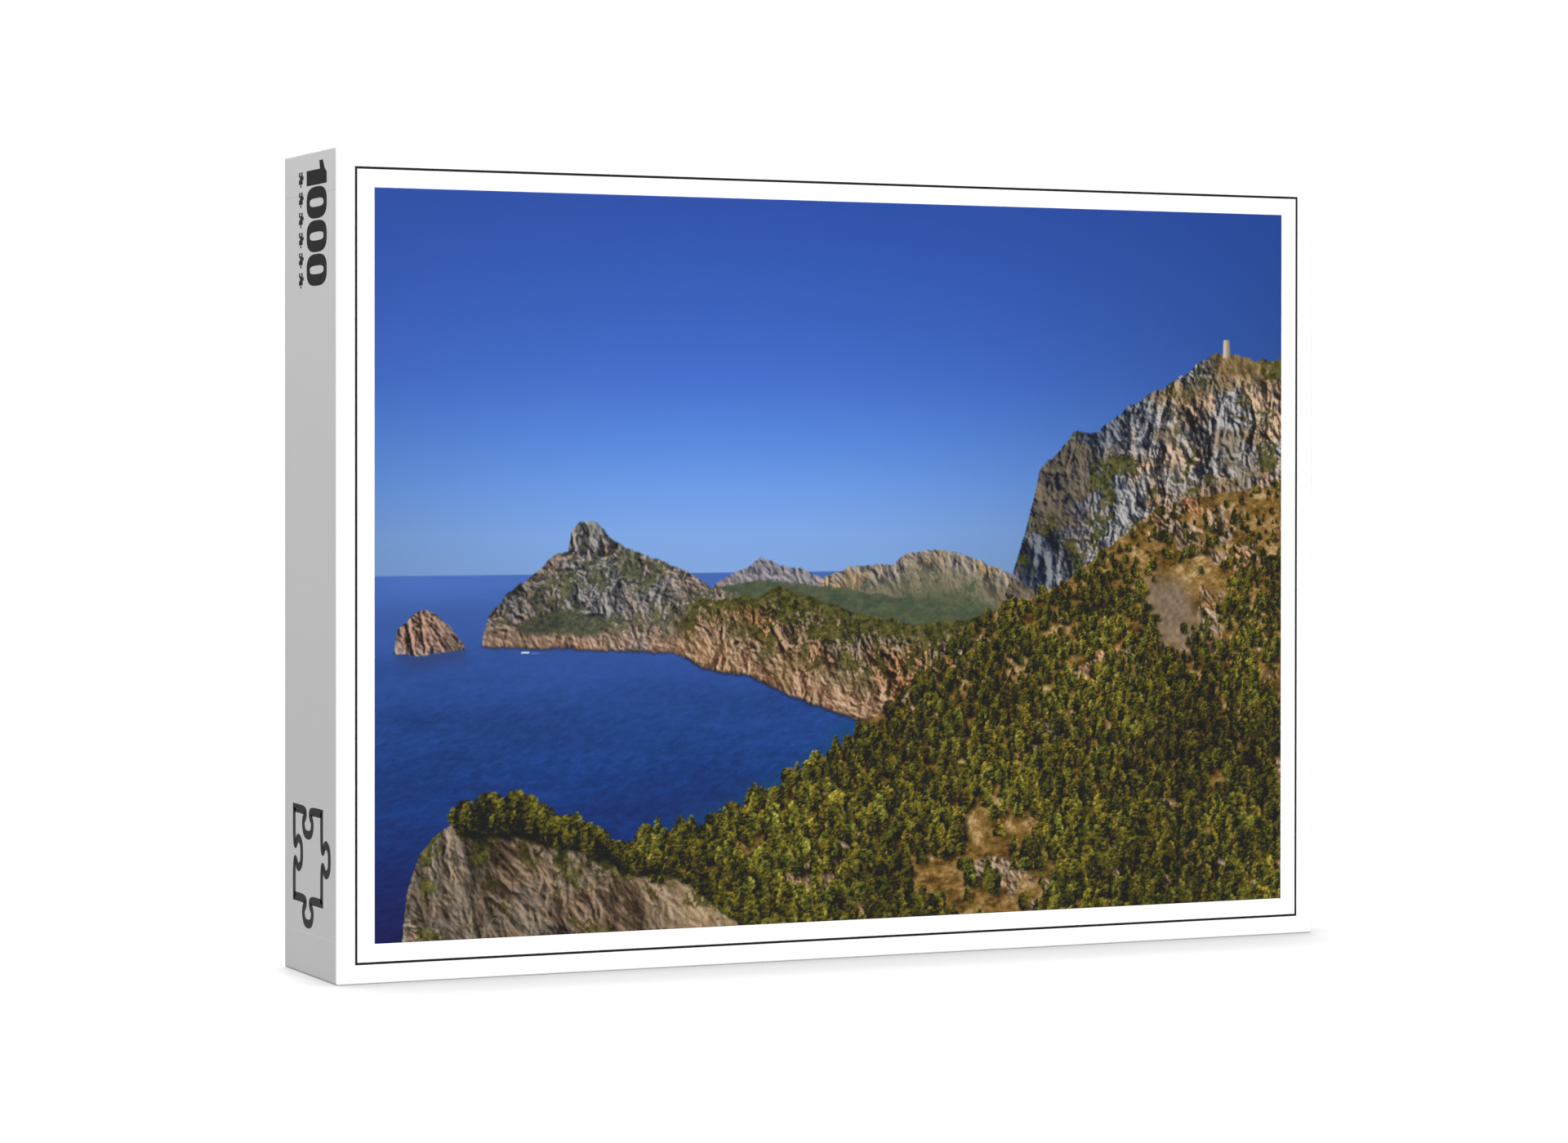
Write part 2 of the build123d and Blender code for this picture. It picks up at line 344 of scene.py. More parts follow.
def fade(a, b, t):
    """Smoothly from 0 where t is a to 1 where it is b."""
    t = unit((t - a) / (b - a))
    return t * t * (3 - 2 * t)


def noise(x, y, seed):
    """Smooth value noise from 0 to 1, with one bump per unit."""
    table = np.random.default_rng(seed).random((128, 128))
    xi, yi = np.floor(x).astype(np.int32), np.floor(y).astype(np.int32)
    fx, fy = x - xi, y - yi
    fx, fy = fx * fx * (3 - 2 * fx), fy * fy * (3 - 2 * fy)
    x0, x1, y0, y1 = xi & 127, (xi + 1) & 127, yi & 127, (yi + 1) & 127
    low = table[y0, x0] * (1 - fx) + table[y0, x1] * fx
    high = table[y1, x0] * (1 - fx) + table[y1, x1] * fx
    return low * (1 - fy) + high * fy


def layered(x, y, seed, octaves, gain, shift_x, shift_y, crests):
    """Noise at finer and finer scales, from 0 to 1, as blobs or folded into crests."""
    total, weight, amount = 0, 0, 1
    for i in range(octaves):
        n = noise(x * 2**i + shift_x * i, y * 2**i + shift_y * i, seed + i)
        total = total + amount * ((1 - abs(2 * n - 1)) if crests else n)
        weight += amount
        amount *= gain
    return total / weight


def clouds(x, y, seed, octaves=5, gain=0.5):
    return layered(x, y, seed, octaves, gain, 17.3, 9.1, False)


def ridges(x, y, seed, octaves=5, gain=0.55):
    return layered(x, y, seed, octaves, gain, 5.7, 3.3, True)


def ramp(t, stops):
    """Colour at t along evenly spaced stops, which run from 0 to 255."""
    t = unit(t) * (len(stops) - 1)
    i = np.minimum(t.astype(int), len(stops) - 2)
    f = (t - i)[..., None]
    stops = np.array(stops) / 255
    return stops[i] * (1 - f) + stops[i + 1] * f


class Patch:
    """A rectangle of the picture. x and y run from 0 to 1 over the whole picture, and wide is x
    in picture heights."""

    def __init__(self, picture, x0=0, x1=1, y0=0, y1=1):
        a, b = int(x0 * columns), int(math.ceil(x1 * columns))
        c, d = int(y0 * rows), int(math.ceil(y1 * rows))
        self.line = (np.arange(a, b) + 0.5) / columns
        self.x, self.y = np.meshgrid(self.line, (np.arange(c, d) + 0.5) / rows)
        self.wide = self.x * aspect
        self.view = picture[c:d, a:b]

    def clouds(self, across, up, seed, octaves=5, gain=0.5):
        return clouds(self.wide * across, self.y * up, seed, octaves, gain)

    def lay(self, colour, mask):
        self.view += (colour - self.view) * mask[..., None]

    def skyline(self, points, rough, seed, scale=60):
        """Height of a silhouette over x: straight runs between a few points, made rough."""
        px, py = zip(*points)
        height = np.interp(self.line, px, py)
        jag = clouds(self.line * scale, self.line * 0 + seed, seed, 6, 0.62) - 0.5
        return height + rough * jag

    def below(self, line):
        return fade(line + 0.0014, line - 0.0014, self.y)

    def above(self, shore):
        return fade(-0.0012, 0.0012, self.y - shore)

    def lit(self, seed, grain, steep, tilt=0, contrast=1):
        """How bright rock is lit: ridged relief, taller than wide by steep, under a high sun."""
        x = (self.wide + tilt * self.y) * grain
        y = self.y * grain / steep
        warp = clouds(x * 0.45, y * 0.45, seed + 50, 4) * 3
        relief = ridges(x + warp, y - warp, seed, 6, 0.62)
        relief = relief + 0.35 * clouds(self.wide * grain * 3, self.y * grain * 3, seed + 60, 3, 0.7)
        slope_y, slope_x = np.gradient(relief)
        span = np.hypot(slope_x, slope_y).std() * 2.2
        light = (-0.8 * slope_x - 0.6 * slope_y) / span
        crack = fade(0.5, 0.8, relief)
        return unit(0.5 + 0.34 * contrast * light) * (0.35 + 0.65 * crack)

    def scrub(self, seed, grain, cover):
        """Dark patches of low bushes."""
        patch = self.clouds(grain, grain, seed, 4, 0.6)
        speck = clouds(self.wide * grain * 7, self.y * grain * 7, seed + 9, 3, 0.7)
        return fade(-0.03, 0.05, patch + 0.55 * (speck - 0.5) - (1 - cover))

    def stone(self, light, seed, dark, middle, bright, stain, amount):
        """Rock in three tones, with stains in patches."""
        deep, glint = [c * 0.4 for c in dark], [c * 1.1 for c in bright]
        colour = ramp(light, [deep, dark, middle, bright, glint])
        patch = fade(0.42, 0.66, self.clouds(16, 22, seed, 5, 0.6)) * amount
        tinted = colour * (np.array(stain) / np.mean(stain))
        return colour + (tinted - colour) * patch[..., None]

    def leaves(self, seed, fine=150):
        tone = clouds(self.wide * fine, self.y * fine * 1.2, seed, 3, 0.85) * 1.5 - 0.25
        return ramp(tone, [(28, 30, 16), (58, 60, 30), (88, 86, 42), (116, 110, 58)])


def mix(a, b, amount):
    return a + (b - a) * amount[..., None]


def dimmed(colour, factor):
    return colour * factor[..., None]


def hazed(colour, amount):
    return colour + (rgb(136, 156, 196) - colour) * amount


# ---- layers, from the back to the front ----
horizon = 0.486
sky_stops = [
    (132, 168, 222), (130, 170, 231), (111, 157, 232), (90, 136, 221), (74, 115, 206), (64, 102, 192),
    (57, 93, 181), (52, 84, 169),
]
sea_stops = [
    (78, 113, 188), (68, 100, 172), (54, 82, 150), (46, 74, 138), (39, 66, 128), (33, 59, 118),
    (26, 49, 102), (22, 42, 88),
]
shallow_edge = [(0.24, 0.118), (0.338, 0.138), (0.427, 0.188), (0.498, 0.252), (0.6, 0.32)]


def paint_sky(picture):
    p = Patch(picture, y0=horizon - 0.01)
    t = unit((p.y - horizon) / (1 - horizon))
    side = (p.x - 0.36) ** 2 * (1 - 0.75 * t)
    p.view[:] = ramp(t**0.85, sky_stops) * (1 - side)[..., None]


def paint_sea(picture):
    p = Patch(picture, x1=0.62, y1=horizon + 0.01)
    t = unit((horizon - p.y) / horizon)
    swell = clouds(p.wide * 5 + p.y * 3, p.y * 30, 3, 5) - 0.5
    sheen = clouds(p.wide * 2.2 - p.y * 2, p.y * 11, 31, 4) - 0.5
    chop = clouds(p.wide * 70 + p.y * 60, p.y * 200 - p.wide * 60, 11, 3, 0.8) - 0.5
    shade = 1 + 0.16 * swell + 0.24 * sheen * (1 - t) + 0.34 * chop * fade(0.02, 0.6, t)
    sea = ramp(t**0.9, sea_stops) * shade[..., None]
    p.lay(sea, fade(horizon + 0.001, horizon - 0.001, p.y))
    edge = p.skyline(shallow_edge, 0.02, 353, 20)
    near = fade(0.05, 0, p.y - edge) * fade(0.28, 0.36, p.x) * fade(0.55, 0.5, p.x)
    p.lay(rgb(30, 78, 112), near * 0.5)


far_ridge = [
    (0.33, 0.44), (0.355, 0.474), (0.378, 0.486), (0.392, 0.497), (0.402, 0.508), (0.418, 0.498),
    (0.44, 0.494), (0.466, 0.482), (0.5, 0.474), (0.56, 0.47),
]
far_shore_hills = [
    (0.45, 0.4), (0.47, 0.478), (0.5, 0.49), (0.53, 0.496), (0.548, 0.497), (0.556, 0.509),
    (0.585, 0.515), (0.615, 0.511), (0.64, 0.503), (0.66, 0.489), (0.7, 0.47),
]
far_strip = [
    (0.33, 0.462), (0.4, 0.474), (0.44, 0.47), (0.5, 0.46), (0.6, 0.44), (0.7, 0.42),
]


def paint_far_hills(picture):
    p = Patch(picture, 0.33, 0.72, 0.38, 0.55)
    line = p.skyline(far_ridge, 0.014, 5)
    light = p.lit(201, 60, 1.2, 0.3)
    colour = p.stone(light, 7, (86, 80, 84), (136, 124, 116), (176, 160, 146), (150, 120, 96), 0.4)
    p.lay(hazed(colour, 0.25), p.below(line))
    line = p.skyline(far_shore_hills, 0.01, 15)
    light = p.lit(211, 46, 1.5)
    colour = p.stone(light, 17, (80, 74, 70), (134, 120, 100), (180, 162, 136), (160, 130, 80), 0.5)
    meadow = ramp(p.clouds(30, 60, 19, 5), [(70, 70, 46), (116, 106, 70), (146, 128, 88)])
    colour = mix(colour, meadow, fade(0, 0.03, line - p.y - 0.012) * 0.7)
    woods = p.scrub(23, 14, 0.52) * fade(0.012, 0.04, line - p.y)
    wood = ramp(p.clouds(120, 160, 29, 3, 0.8), [(48, 58, 40), (72, 82, 52), (98, 102, 66)])
    colour = mix(colour, wood, unit(woods + fade(0.045, 0.07, line - p.y) * 0.8))
    p.lay(hazed(colour, 0.14), p.below(line) * (p.x > 0.45))
    low = p.skyline(far_strip, 0.008, 37)
    colour = ramp(p.clouds(100, 160, 41, 4, 0.75), [(46, 56, 40), (74, 82, 54), (106, 106, 72)])
    strip = fade(0, 0.004, p.y - 0.4)
    p.lay(hazed(colour, 0.12), p.below(low) * strip)


headland_top = [
    (0.105, 0.36), (0.11, 0.405), (0.116, 0.432), (0.13, 0.456), (0.15, 0.474), (0.172, 0.497),
    (0.184, 0.512), (0.197, 0.516), (0.201, 0.545), (0.209, 0.556), (0.226, 0.556), (0.243, 0.535),
    (0.256, 0.52), (0.285, 0.508), (0.32, 0.488), (0.35, 0.468), (0.4, 0.448), (0.44, 0.44),
]
shore_line = [
    (0, 0.392), (0.11, 0.39), (0.2, 0.385), (0.31, 0.377), (0.34, 0.356), (0.39, 0.343), (0.43, 0.318),
    (0.47, 0.296), (0.52, 0.274), (0.56, 0.25), (1, 0.05),
]


def paint_headland(picture):
    p = Patch(picture, 0.1, 0.44, 0.3, 0.58)
    top = p.skyline(headland_top, 0.014, 61, 70)
    shore = p.skyline(shore_line, 0.008, 67, 90)
    light = p.lit(71, 46, 1.2, -0.35, 1.35)
    colour = p.stone(light, 73, (60, 60, 64), (106, 103, 101), (162, 154, 147), (170, 132, 104), 0.35)
    base = fade(0.046, 0.006, p.y - shore) * fade(0.3, 0.62, p.clouds(14, 8, 79, 4) + 0.1)
    warm = ramp(light, [(84, 56, 44), (150, 112, 88), (196, 156, 126), (226, 190, 160)])
    colour = mix(colour, warm, base * 0.85)
    bare = fade(0.04, 0.015, top - p.y) * fade(0.285, 0.235, p.x)
    cover = p.scrub(83, 38, 0.45) * (1 - base * 0.8) * (1 - 0.8 * bare)
    colour = mix(colour, hazed(p.leaves(89), 0.14), cover * 0.85)
    bowl = np.hypot((p.x - 0.19) * 1.15, (p.y - 0.415) * 2.3) + 0.03 * (p.clouds(30, 30, 77, 3) - 0.5)
    wood = fade(0, 0.012, 0.058 - bowl) * fade(0, 0.01, p.y - shore - 0.014)
    colour = mix(colour, hazed(p.leaves(97, 170), 0.2) * 0.86, wood * 0.92)
    shaded = fade(0.2, 0.17, p.x + (p.y - 0.45) * 0.25) * 0.12
    colour = dimmed(colour, 1 - shaded)
    mask = p.below(top) * p.above(shore) * fade(0.44, 0.4, p.x)
    p.lay(hazed(colour, 0.05), mask)
    wet = fade(0.004, 0, abs(p.y - shore)) * (p.x > 0.108) * (p.x < 0.33)
    p.lay(rgb(44, 38, 44), wet * 0.5)


ridge_top = [
    (0.3, 0.42), (0.335, 0.452), (0.37, 0.45), (0.395, 0.452), (0.42, 0.465), (0.445, 0.458),
    (0.48, 0.44), (0.52, 0.425), (0.57, 0.408), (0.63, 0.418), (0.7, 0.43),
]


def paint_middle_ridge(picture):
    p = Patch(picture, 0.3, 0.72, 0.2, 0.5)
    shore = p.skyline(shore_line, 0.008, 67, 90)
    top = p.skyline(ridge_top, 0.016, 101)
    light = p.lit(103, 48, 1.35, -0.15, 1.5)
    colour = p.stone(light, 107, (58, 50, 42), (106, 92, 74), (164, 144, 118), (190, 140, 96), 0.5)
    base = fade(0.1, 0.02, p.y - shore) * fade(0.36, 0.6, p.clouds(14, 9, 109, 4) + 0.1)
    warm = ramp(light, [(78, 52, 38), (140, 106, 80), (190, 152, 120), (226, 194, 160)])
    colour = mix(colour, warm, base * 0.9)
    cover = p.scrub(113, 42, 0.5) * (1 - base * 0.8)
    cover = unit(cover + fade(0.035, 0, top - p.y) * p.scrub(117, 20, 0.72))
    colour = mix(colour, p.leaves(119), cover * 0.9)
    mask = p.below(top) * p.above(shore)
    mask = mask * fade(0.3, 0.34, p.x + (0.45 - p.y) * 0.25)
    p.lay(hazed(colour, 0.02), mask)
    wet = fade(0.005, 0, abs(p.y - shore)) * (p.x > 0.32) * (p.x < 0.55)
    p.lay(rgb(36, 34, 42), wet * 0.6)


island_top = [
    (0.018, 0.3), (0.0205, 0.395), (0.024, 0.415), (0.04, 0.434), (0.052, 0.44), (0.064, 0.433),
    (0.078, 0.414), (0.092, 0.39), (0.096, 0.3),
]
island_foot = [(0, 0.384), (0.05, 0.381), (0.1, 0.387)]


def paint_island(picture):
    p = Patch(picture, 0, 0.12, 0.3, 0.46)
    top = p.skyline(island_top, 0.01, 131, 90)
    foot = p.skyline(island_foot, 0.006, 137, 100)
    light = p.lit(139, 46, 1.6, 0.2, 1.3)
    colour = p.stone(light, 141, (80, 70, 66), (132, 114, 104), (172, 152, 138), (180, 136, 112), 0.3)
    colour = mix(colour, p.leaves(151), p.scrub(149, 26, 0.33) * 0.6)
    colour = dimmed(colour, 1 - 0.22 * fade(0.06, 0.09, p.x))
    mirrored = fade(0.03, 0, foot - p.y) * (p.y < foot)
    mirrored = mirrored * fade(0.016, 0.03, p.x) * fade(0.1, 0.085, p.x)
    p.lay(rgb(56, 62, 96), mirrored * 0.5)
    side = fade(0.0185, 0.0205, p.x) * fade(0.0955, 0.0925, p.x)
    p.lay(colour, p.below(top) * fade(-0.001, 0.001, p.y - foot) * side)


mountain_top = [
    (0.655, 0.36), (0.668, 0.43), (0.68, 0.475), (0.694, 0.53), (0.706, 0.583), (0.713, 0.622),
    (0.733, 0.652), (0.75, 0.676), (0.782, 0.686), (0.81, 0.712), (0.84, 0.731), (0.874, 0.757),
    (0.905, 0.784), (0.935, 0.797), (0.96, 0.792), (1, 0.79),
]
slope_top = [
    (0, -0.1), (0.235, 0.118), (0.29, 0.13), (0.338, 0.138), (0.373, 0.16), (0.427, 0.188),
    (0.453, 0.215), (0.498, 0.25), (0.516, 0.272), (0.557, 0.307), (0.605, 0.37), (0.645, 0.415),
    (0.668, 0.428), (0.7, 0.442), (0.745, 0.468), (0.787, 0.51), (0.835, 0.556), (0.874, 0.583),
    (0.933, 0.592), (1, 0.606),
]


def paint_mountain(picture):
    p = Patch(picture, 0.65, 1, 0.36, 0.82)
    top = p.skyline(mountain_top, 0.022, 163, 50)
    broad = p.lit(167, 12, 2.2, -0.2, 1.3)
    fine = p.lit(169, 40, 1.7, -0.2, 1.4)
    light = unit(0.5 * broad + 0.75 * fine - 0.07)
    colour = p.stone(light, 173, (40, 44, 54), (96, 95, 98), (182, 178, 174), (176, 136, 92), 0.55)
    cool = fade(0.84, 0.74, p.x + (0.6 - p.y) * 0.35)
    blue = ramp(light * 1.15, [(20, 25, 38), (44, 54, 74), (76, 86, 106), (140, 146, 158)])
    colour = mix(colour, blue * (0.8 + 0.2 * (1 - cool))[..., None], cool * 0.85)
    dry = ramp(p.clouds(80, 80, 181, 4, 0.7), [(78, 64, 40), (122, 100, 62), (158, 132, 88)])
    grass = fade(0.47, 0.58, clouds(p.wide * 9 + p.y * 3, p.y * 14, 179, 4)) * fade(0.2, 0.5, light)
    high = fade(0.06, 0, top - p.y) * fade(0.88, 0.96, p.x)
    colour = mix(colour, dry, unit(grass * 0.7 + high) * 0.75)
    colour = mix(colour, p.leaves(193), p.scrub(191, 22, 0.37) * 0.8)
    p.lay(hazed(colour, 0.02), p.below(top))
    tower = 0.933
    base = np.interp(tower, *zip(*mountain_top)) + 0.001
    half = 0.0042 - 0.0007 * unit((p.y - base) / 0.018)
    mask = fade(half + 0.0006, half - 0.0006, abs(p.x - tower))
    mask = mask * (p.y > base - 0.008) * fade(base + 0.0185, base + 0.0172, p.y)
    tone = rgb(206, 192, 168) * (1 - 0.35 * fade(-0.003, 0.004, p.x - tower))[..., None]
    p.lay(tone, mask)


def paint_slope(picture):
    """The near slope under the trees: dry grass, pale rock and scree."""
    p = Patch(picture, 0.22, 1, 0, 0.64)
    top = p.skyline(slope_top, 0.012, 211)
    soil = ramp(p.clouds(40, 60, 217, 6, 0.8) * 2.4 - 0.75,
                [(70, 54, 28), (116, 90, 48), (150, 118, 70), (194, 166, 122)])
    light = p.lit(223, 44, 1.4, 0.1, 1.1)
    stone = p.stone(light, 227, (84, 70, 58), (138, 118, 96), (190, 168, 140), (190, 140, 100), 0.5)
    rocky = fade(0.5, 0.58, p.clouds(12, 16, 229, 5, 0.6))
    colour = mix(soil, stone, rocky)
    scree = fade(0.03, 0, abs(p.x - 0.868 - (0.42 - p.y) * 0.25) - 0.012)
    scree = scree * fade(0.35, 0.39, p.y) * fade(0.49, 0.45, p.y)
    gravel = ramp(p.clouds(160, 160, 233, 2, 0.9), [(104, 88, 72), (132, 114, 94), (158, 140, 118)])
    colour = mix(colour, gravel, scree)
    p.lay(colour, p.below(top))
    plant_forest(picture, p, top, scree)


def pine_crowns(count, seed):
    """Small pictures of pines, domes and cones of feathery branches, lit from the left."""
    rng = np.random.default_rng(seed)
    size = 40
    y, x = np.mgrid[0:size, 0:size] / (size - 1) * 2 - 1
    tones = [(8, 10, 4), (36, 38, 16), (82, 80, 34), (124, 117, 49), (170, 159, 80)]
    crowns = []
    for i in range(count):
        ragged = clouds(x * 4 + i * 7, y * 4 + 9, seed + i, 4, 0.75) - 0.5
        if rng.random() < 0.5:
            girth = 0.78 * unit((1 - y) / 2) ** 0.75
        else:
            girth = 0.85 * np.sqrt(unit(1 - y**2))
        cover = fade(0.1, -0.1, abs(x) - girth - 0.55 * ragged) * fade(1, 0.9, abs(y))
        boughs = clouds(x * 3 + i * 5, y * 7 + i, seed + 40 + i, 3, 0.7) - 0.5
        needles = clouds(x * 9, y * 9 + i, seed + 80 + i, 2, 0.9) - 0.5
        lit = 0.42 - 0.26 * x / (girth + 0.15) + 0.16 * y + 1.1 * boughs + 0.45 * needles
        crowns.append((ramp(lit, tones), cover))
    return crowns


shadow_cover = unit(1.15 - np.hypot(*np.meshgrid(np.linspace(-1, 1, 24), np.linspace(-1, 1, 24))))


def stamp(picture, colour, cover, left, low):
    """Lays a small picture over a part of the big one, cut at its edges."""
    tall, wide = cover.shape
    a, b = max(left, 0), min(left + wide, columns)
    c, d = max(low, 0), min(low + tall, rows)
    if a < b and c < d:
        cover = cover[c - low : d - low, a - left : b - left, None]
        if colour.ndim > 1:
            colour = colour[c - low : d - low, a - left : b - left]
        target = picture[c:d, a:b]
        target += (colour - target) * cover


def thinned(length, count):
    """Which cells of a row of the given length to keep, to have about count."""
    return np.linspace(0, length - 1, max(int(count), 3)).astype(int)


def plant(picture, crowns, x, y, size, tint, rng):
    """One tree and its shadow. x and y are its foot, in cells."""
    colour, cover = crowns[rng.integers(len(crowns))]
    if rng.random() < 0.5:
        colour, cover = colour[:, ::-1], cover[:, ::-1]
    wide = thinned(cover.shape[1], size)
    tall = thinned(cover.shape[0], size * rng.uniform(0.9, 1.3))
    left, low = int(x - len(wide) / 2), int(y)
    shadow = shadow_cover[np.ix_(thinned(24, size * 0.7), thinned(24, size * 1.1))] * 0.7
    stamp(picture, rgb(28, 28, 14), shadow, left + int(size * 0.18), low - int(size * 0.22))
    stamp(picture, colour[np.ix_(tall, wide)] * tint, cover[np.ix_(tall, wide)], left, low)


def plant_forest(picture, p, top, scree):
    rng = np.random.default_rng(401)
    crowns = pine_crowns(24, 409)
    first = int(round(p.line[0] * columns - 0.5))
    clearing = clouds(p.x * 9, p.y * 9, 419, 4)
    open_ground = fade(0.11, 0.04, p.y) * fade(0.52, 0.57, p.x) * fade(0.8, 0.7, p.x) * 0.24
    open_ground = open_ground + fade(0.34, 0.4, p.y) * fade(0.78, 0.82, p.x) * 0.14 - 0.03
    for y in np.linspace(0.62, -0.04, 230):
        near = unit(1 - y / 0.6)
        size = (0.0085 + 0.0115 * near) * columns
        step = size * 0.6
        for x in np.arange(first, columns + step, step):
            column = x + rng.uniform(-0.5, 0.5) * step
            row = (y + rng.uniform(-0.5, 0.5) * 0.006) * rows
            i = int(np.clip(row, 0, p.view.shape[0] - 1))
            j = int(np.clip(column - first, 0, p.view.shape[1] - 1))
            density = 1 - fade(0.6, 0.7, clearing[i, j] + open_ground[i, j]) * 0.96
            density *= 1 - 0.72 * fade(0.44, 0.54, row / rows)
            density *= 1 - 0.95 * scree[i, j]
            if top[j] - row / rows < 0.004 or rng.random() > density * 0.42:
                continue
            tint = rng.uniform(0.7, 1.15) * (0.5 + 1.05 * clearing[i, j])
            warm = rng.uniform(-0.05, 0.08)
            tint = tint * np.array([1 + warm, 1, 1 - warm])
            plant(picture, crowns, column, row, size * rng.uniform(0.6, 1.25), tint, rng)


cliff_top = [
    (0.025, -0.1), (0.029, 0.02), (0.033, 0.065), (0.044, 0.11), (0.06, 0.142), (0.083, 0.158),
    (0.12, 0.156), (0.16, 0.146), (0.2, 0.13), (0.235, 0.112), (0.275, 0.09), (0.31, 0.066),
    (0.345, 0.036), (0.375, 0.005), (0.39, -0.05), (1, -0.2),
]


def paint_near_cliff(picture):
    p = Patch(picture, 0, 0.42, 0, 0.2)
    top = p.skyline(cliff_top, 0.016, 301, 50)
    broad, fine = p.lit(305, 12, 1.5, 0.2, 0.8), p.lit(307, 38, 1.3, 0.2)
    light = unit(0.4 * broad + 0.6 * fine + 0.05)
    colour = p.stone(light, 311, (60, 53, 46), (104, 94, 83), (150, 136, 119), (180, 144, 110), 0.3)
    streak = fade(0.52, 0.72, clouds((p.wide + 0.15 * p.y) * 26, p.y * 4, 313, 4)) * 0.35
    colour = dimmed(colour, 1 - streak)
    pale = fade(0.24, 0.34, p.x) * fade(0.3, 0.6, p.clouds(14, 14, 337, 4))
    colour = mix(colour, ramp(light, [(110, 88, 66), (176, 148, 114), (222, 194, 156)]), pale * 0.8)
    colour = mix(colour, p.leaves(331, 90), p.scrub(317, 26, 0.33) * 0.8)
    edge = fade(0.05, 0, p.x - 0.028 - unit(p.y) * 0.25)
    colour = dimmed(colour, 1 + 0.18 * edge)
    p.lay(unit(colour), p.below(top))
    rng = np.random.default_rng(347)
    crowns = pine_crowns(12, 349)
    for x in np.linspace(0.088, 0.29, 90):
        height = 0.03 * (1 - abs(x - 0.13) * 3.5)
        for _ in range(2):
            foot = np.interp(x, p.line, top) - rng.uniform(0, 0.02)
            size = max(height, 0.012) * columns * rng.uniform(0.6, 1.1)
            tint = np.array([0.92, 0.92, 0.86]) * rng.uniform(0.7, 1)
            column = (x + rng.uniform(-0.006, 0.006)) * columns
            plant(picture, crowns, column, foot * rows, size, tint, rng)


def paint_boat(picture):
    p = Patch(picture, 0.14, 0.2, 0.37, 0.39)
    hull = fade(0.0046, 0.0034, abs(p.x - 0.153)) * fade(0.0016, 0.001, abs(p.y - 0.3815))
    wake = fade(0.01, 0, abs(p.x - 0.163)) * fade(0.0014, 0.0006, abs(p.y - 0.3805)) * 0.35
    p.lay(rgb(160, 180, 214), wake)
    p.lay(rgb(232, 234, 238), hull)


def paint_landscape():
    picture = np.zeros((rows, columns, 3))
    for paint in (paint_sky, paint_sea, paint_far_hills, paint_headland, paint_middle_ridge,
                  paint_island, paint_mountain, paint_slope, paint_near_cliff, paint_boat):
        paint(picture)
    return unit(picture)


# ---- the lid's print ----
def build_picture():
    """The picture as a fine grid of ink: each point of the grid carries its painted colour."""
    painting = linear(paint_landscape())
    colours = np.clip((painting - front_shine) / front_light, 0.002, 1)
    up, across = colours.shape[:2]
    x = np.linspace(-picture_width / 2, picture_width / 2, across)
    z = np.linspace(-picture_height / 2, picture_height / 2, up) + box_middle.z
    x, z = np.meshgrid(x, z)
    front = np.stack([x, np.full_like(x, lid_panel - ink), z], 2).reshape(-1, 3)
    index = np.arange(across * up).reshape(up, across)
    rim = np.concatenate([index[0], index[1:, -1], index[-1, -2::-1], index[-2:0:-1, 0]])
    under = front[rim] + (0, ink, 0)
    low = np.arange(len(rim)) + across * up
    sides = np.stack([rim, low, np.roll(low, -1), np.roll(rim, -1)], 1)
    points = np.concatenate([front, under])
    mesh = quad_mesh("printed_picture", points, np.concatenate([grid_quads(across, up), sides]))
    paint = np.ones((len(points), 4), np.float32)
    paint[: across * up, :3] = colours.reshape(-1, 3)
    paint[across * up :, :3] = colours.reshape(-1, 3)[rim]
    mesh.color_attributes.new("paint", "FLOAT_COLOR", "POINT").data.foreach_set("color", paint.ravel())
    make_object("printed_picture", mesh, print_material(), "lid")
    return painting


class Face:
    """One face of the lid to print on: where its artwork's origin is, and which ways across and
    up run on it. Artwork is drawn in metres."""

    def __init__(self, origin, across, up):
        self.origin, self.across, self.up = Vector(origin), Vector(across), Vector(up)
        self.out = self.across.cross(self.up)

    def point(self, x, y, rise):
        return self.origin + self.across * x + self.up * y + self.out * rise


def print_shapes(name, face, shapes, material):
    """Prints closed outlines as thin ink. Each shape is a list of loops; the first is its outline,
    and any others are holes in it."""
    curve = bpy.data.curves.new(name, "CURVE")
    curve.dimensions = "2D"
    curve.fill_mode = "BOTH"
    curve.extrude = ink / 2
    for loops in shapes:
        for loop in loops:
            spline = curve.splines.new("POLY")
            spline.points.add(len(loop) - 1)
            spline.points.foreach_set("co", [c for x, y in loop for c in (x, y, 0, 1)])
            spline.use_cyclic_u = True
    flat = bpy.data.objects.new(name, curve)
    mesh = bpy.data.meshes.new_from_object(flat)
    bpy.data.objects.remove(flat)
    for vertex in mesh.vertices:
        x, y, rise = vertex.co
        vertex.co = face.point(x, y, rise + ink / 2)
    mesh.name = name
    make_object(name, mesh, material, "lid")


def rounded(width, height, power, middle, steps=56):
    """A closed outline between an ellipse and a rectangle."""
    loop = []
    for i in range(steps):
        a = 2 * math.pi * i / steps
        c, s = math.cos(a), math.sin(a)
        x = math.copysign(abs(c) ** (2 / power), c) * width / 2
        y = math.copysign(abs(s) ** (2 / power), s) * height / 2
        loop.append((middle[0] + x, middle[1] + y))
    return loop


def moved(loop, x, y):
    return [(px + x, py + y) for px, py in loop]


digit_height = 0.0213
zero_width = 0.0105
one_width = 0.0078
digit_gap = 0.0006
stem = 0.005  # of the one
counter_width = 0.0028  # of the hole in a zero
counter_height = 0.0145


